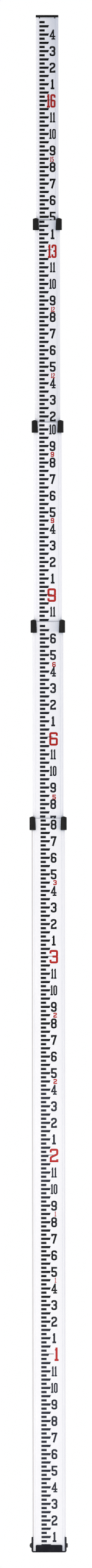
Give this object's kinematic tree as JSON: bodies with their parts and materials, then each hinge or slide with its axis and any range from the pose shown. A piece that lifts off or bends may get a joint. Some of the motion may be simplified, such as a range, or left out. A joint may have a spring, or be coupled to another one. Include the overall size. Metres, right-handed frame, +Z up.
{
  "type": "leveling staff",
  "caption": "Telescopic aluminium leveling staff of nested flat tubes with black side lock clips, a riveted foot shoe, a top cap and a feet-and-inches scale on its white front face.",
  "frame": {"origin": "centre of the foot's flat sole, which is the zero of the scale", "axes": "+Z up along the staff, -Y out of the scale face, +X to the reader's right"},
  "size_m": [0.0587, 0.0344, 2.3572],
  "materials": {
    "tube": "white coated, satin",
    "black_plastic": "moulded, satin",
    "lever_plastic": "moulded, satin",
    "steel": "ground",
    "spring_steel": "blank",
    "rivet": "black oxide"
  },
  "bodies": {
    "section_1": {"section_1": "tube", "clip_1_left": "black_plastic", "lever_pin_1_left": "steel", "leaf_spring_1_left": "spring_steel", "clip_1_right": "black_plastic", "lever_pin_1_right": "steel", "leaf_spring_1_right": "spring_steel", "foot_shoe": "black_plastic", "foot_rivet": "rivet"},
    "section_2": {"section_2": "tube", "guide_bush_2": "black_plastic", "clip_2_left": "black_plastic", "lever_pin_2_left": "steel", "leaf_spring_2_left": "spring_steel", "clip_2_right": "black_plastic", "lever_pin_2_right": "steel", "leaf_spring_2_right": "spring_steel"},
    "section_3": {"section_3": "tube", "guide_bush_3": "black_plastic", "clip_3_left": "black_plastic", "lever_pin_3_left": "steel", "leaf_spring_3_left": "spring_steel", "clip_3_right": "black_plastic", "lever_pin_3_right": "steel", "leaf_spring_3_right": "spring_steel"},
    "section_4": {"section_4": "tube", "guide_bush_4": "black_plastic", "clip_4_left": "black_plastic", "lever_pin_4_left": "steel", "leaf_spring_4_left": "spring_steel", "clip_4_right": "black_plastic", "lever_pin_4_right": "steel", "leaf_spring_4_right": "spring_steel"},
    "section_5": {"section_5": "tube", "guide_bush_5": "black_plastic", "top_cap": "black_plastic"},
    "lock_lever_1_left": {"lock_lever_1_left": "lever_plastic"},
    "lock_lever_1_right": {"lock_lever_1_right": "lever_plastic"},
    "lock_lever_2_left": {"lock_lever_2_left": "lever_plastic"},
    "lock_lever_2_right": {"lock_lever_2_right": "lever_plastic"},
    "lock_lever_3_left": {"lock_lever_3_left": "lever_plastic"},
    "lock_lever_3_right": {"lock_lever_3_right": "lever_plastic"},
    "lock_lever_4_left": {"lock_lever_4_left": "lever_plastic"},
    "lock_lever_4_right": {"lock_lever_4_right": "lever_plastic"}
  },
  "joints": [
    {"name": "section_2_slide", "type": "slide", "parent": "section_1", "child": "section_2", "axis": [0, 0, 1], "range_m": [-0.2809, 0.5781]},
    {"name": "section_3_slide", "type": "slide", "parent": "section_2", "child": "section_3", "axis": [0, 0, 1], "range_m": [-0.2858, 0.6956]},
    {"name": "section_4_slide", "type": "slide", "parent": "section_3", "child": "section_4", "axis": [0, 0, 1], "range_m": [-0.2905, 0.6912]},
    {"name": "section_5_slide", "type": "slide", "parent": "section_4", "child": "section_5", "axis": [0, 0, 1], "range_m": [-0.307, 0.6845]},
    {"name": "lock_lever_1_left_rock", "type": "hinge", "parent": "section_1", "child": "lock_lever_1_left", "pos_m": [-0.027, 0, 1.12], "axis": [0, -1, 0], "range_deg": [0, 8], "stiffness_Nm_per_rad": 0.06, "springref_deg": -17.19, "deforming": ["leaf_spring_1_left"]},
    {"name": "lock_lever_1_right_rock", "type": "hinge", "parent": "section_1", "child": "lock_lever_1_right", "pos_m": [0.027, 0, 1.12], "axis": [0, 1, 0], "range_deg": [0, 8], "stiffness_Nm_per_rad": 0.06, "springref_deg": -17.19, "deforming": ["leaf_spring_1_right"]},
    {"name": "lock_lever_2_left_rock", "type": "hinge", "parent": "section_2", "child": "lock_lever_2_left", "pos_m": [-0.02492, 0, 1.4218], "axis": [0, -1, 0], "range_deg": [0, 8], "stiffness_Nm_per_rad": 0.06, "springref_deg": -17.19, "deforming": ["leaf_spring_2_left"]},
    {"name": "lock_lever_2_right_rock", "type": "hinge", "parent": "section_2", "child": "lock_lever_2_right", "pos_m": [0.02492, 0, 1.4218], "axis": [0, 1, 0], "range_deg": [0, 8], "stiffness_Nm_per_rad": 0.06, "springref_deg": -17.19, "deforming": ["leaf_spring_2_right"]},
    {"name": "lock_lever_3_left_rock", "type": "hinge", "parent": "section_3", "child": "lock_lever_3_left", "pos_m": [-0.02285, 0, 1.7277], "axis": [0, -1, 0], "range_deg": [0, 8], "stiffness_Nm_per_rad": 0.06, "springref_deg": -17.19, "deforming": ["leaf_spring_3_left"]},
    {"name": "lock_lever_3_right_rock", "type": "hinge", "parent": "section_3", "child": "lock_lever_3_right", "pos_m": [0.02285, 0, 1.7277], "axis": [0, 1, 0], "range_deg": [0, 8], "stiffness_Nm_per_rad": 0.06, "springref_deg": -17.19, "deforming": ["leaf_spring_3_right"]},
    {"name": "lock_lever_4_left_rock", "type": "hinge", "parent": "section_4", "child": "lock_lever_4_left", "pos_m": [-0.02077, 0, 2.0375], "axis": [0, -1, 0], "range_deg": [0, 8], "stiffness_Nm_per_rad": 0.06, "springref_deg": -17.19, "deforming": ["leaf_spring_4_left"]},
    {"name": "lock_lever_4_right_rock", "type": "hinge", "parent": "section_4", "child": "lock_lever_4_right", "pos_m": [0.02077, 0, 2.0375], "axis": [0, 1, 0], "range_deg": [0, 8], "stiffness_Nm_per_rad": 0.06, "springref_deg": -17.19, "deforming": ["leaf_spring_4_right"]}
  ]
}
